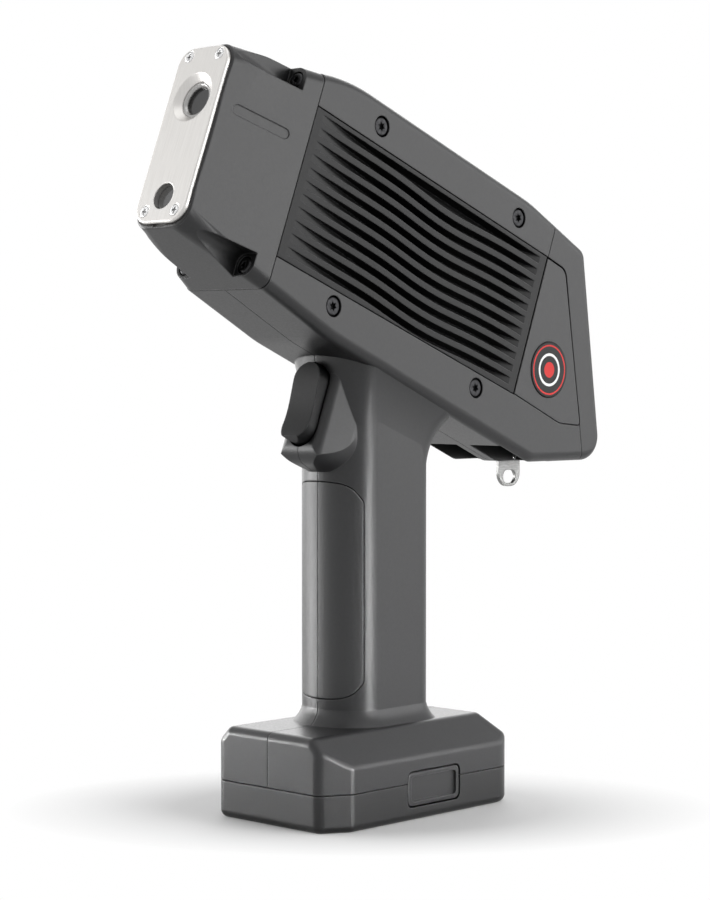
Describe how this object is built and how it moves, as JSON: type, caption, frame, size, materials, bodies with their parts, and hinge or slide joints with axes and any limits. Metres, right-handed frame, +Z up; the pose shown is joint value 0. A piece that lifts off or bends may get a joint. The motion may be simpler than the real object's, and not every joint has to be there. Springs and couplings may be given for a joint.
{
  "type": "handheld x-ray fluorescence analyzer",
  "caption": "Pistol-shaped handheld X-ray fluorescence analyzer: finned tilted body, steel nose plate, trigger handle, rear display hood and a latched battery foot.",
  "frame": {"origin": "centre of the flat underside of the battery foot, on the plane of symmetry", "axes": "+Z up, -Y towards the nose, +X to the instrument's left flank; X = 0 is the plane of symmetry"},
  "size_m": [0.06, 0.2075, 0.262],
  "materials": {
    "housing_plastic": "fine satin texture, charcoal",
    "fin_plastic": "satin black ribbed panel",
    "trim_plastic": "smooth satin charcoal",
    "grip_rubber": "soft-touch overmould",
    "badge_face": "printed disc under a clear coat",
    "plate_steel": "brushed stainless",
    "ring_steel": "polished ring",
    "screw_steel": "zinc plated",
    "screw_black": "black oxide",
    "film": "thin dark window film",
    "lens_glass": "coated lens",
    "module_black": "moulded black",
    "cast_alloy": "bead blasted alloy",
    "tube_ceramic": "glazed ceramic",
    "board_green": "circuit board",
    "supply_white": "potted supply",
    "glass_dark": "dark touch glass",
    "display_grey": "display panel",
    "key_plastic": "moulded key",
    "tab_steel": "stamped stainless",
    "trigger_plastic": "smooth satin black",
    "spring_steel": "spring wire",
    "cell_wrap": "shrink wrapped cells",
    "contact_gold": "gold plated contacts"
  },
  "bodies": {
    "analyzer": {"left_housing": "housing_plastic", "right_housing": "housing_plastic", "nose_housing": "housing_plastic", "nose_plate": "plate_steel", "nose_plate_screws": "screw_steel", "nose_housing_screws": "screw_black", "window_ring": "ring_steel", "window_film": "film", "camera_lens": "lens_glass", "camera_module": "module_black", "snout_block": "cast_alloy", "xray_tube": "tube_ceramic", "detector": "cast_alloy", "left_grip": "grip_rubber", "right_grip": "grip_rubber", "left_heat_sink": "fin_plastic", "right_heat_sink": "fin_plastic", "left_rear_panel": "trim_plastic", "right_rear_panel": "trim_plastic", "left_badge": "badge_face", "right_badge": "badge_face", "side_screws": "screw_black", "display_hood": "housing_plastic", "display_glass": "glass_dark", "display_module": "display_grey", "display_board": "board_green", "lanyard_tab": "tab_steel", "lanyard_pin": "screw_steel", "trigger_pin": "screw_steel", "trigger_switch": "module_black", "chassis": "cast_alloy", "high_voltage_supply": "supply_white", "main_board": "board_green", "contact_block": "module_black"},
    "trigger": {"trigger": "trigger_plastic"},
    "battery": {"battery_case": "housing_plastic", "battery_cells": "cell_wrap", "battery_terminals": "contact_gold", "battery_foot": "housing_plastic", "foot_screws": "screw_black"},
    "left_latch": {"left_latch": "trim_plastic"},
    "right_latch": {"right_latch": "trim_plastic"},
    "power_key": {"power_key": "key_plastic"}
  },
  "joints": [
    {"name": "trigger_pull", "type": "hinge", "parent": "analyzer", "child": "trigger", "pos_m": [0, -0.01848, 0.15419], "axis": [1, 0, 0], "range_deg": [0, 5], "stiffness_Nm_per_rad": 0.6, "springref_deg": -5.73},
    {"name": "battery_slide", "type": "slide", "parent": "analyzer", "child": "battery", "axis": [0, 0, -1], "range_m": [0, 0.1]},
    {"name": "left_latch_press", "type": "slide", "parent": "battery", "child": "left_latch", "axis": [-1, 0, 0], "range_m": [0, 0.002], "stiffness_N_per_m": 1200, "springref_m": -0.002},
    {"name": "right_latch_press", "type": "slide", "parent": "battery", "child": "right_latch", "axis": [1, 0, 0], "range_m": [0, 0.002], "stiffness_N_per_m": 1200, "springref_m": -0.002},
    {"name": "power_key_press", "type": "slide", "parent": "analyzer", "child": "power_key", "axis": [0, -0.9914, -0.131], "range_m": [0, 0.0008], "stiffness_N_per_m": 1500, "springref_m": -0.001}
  ]
}
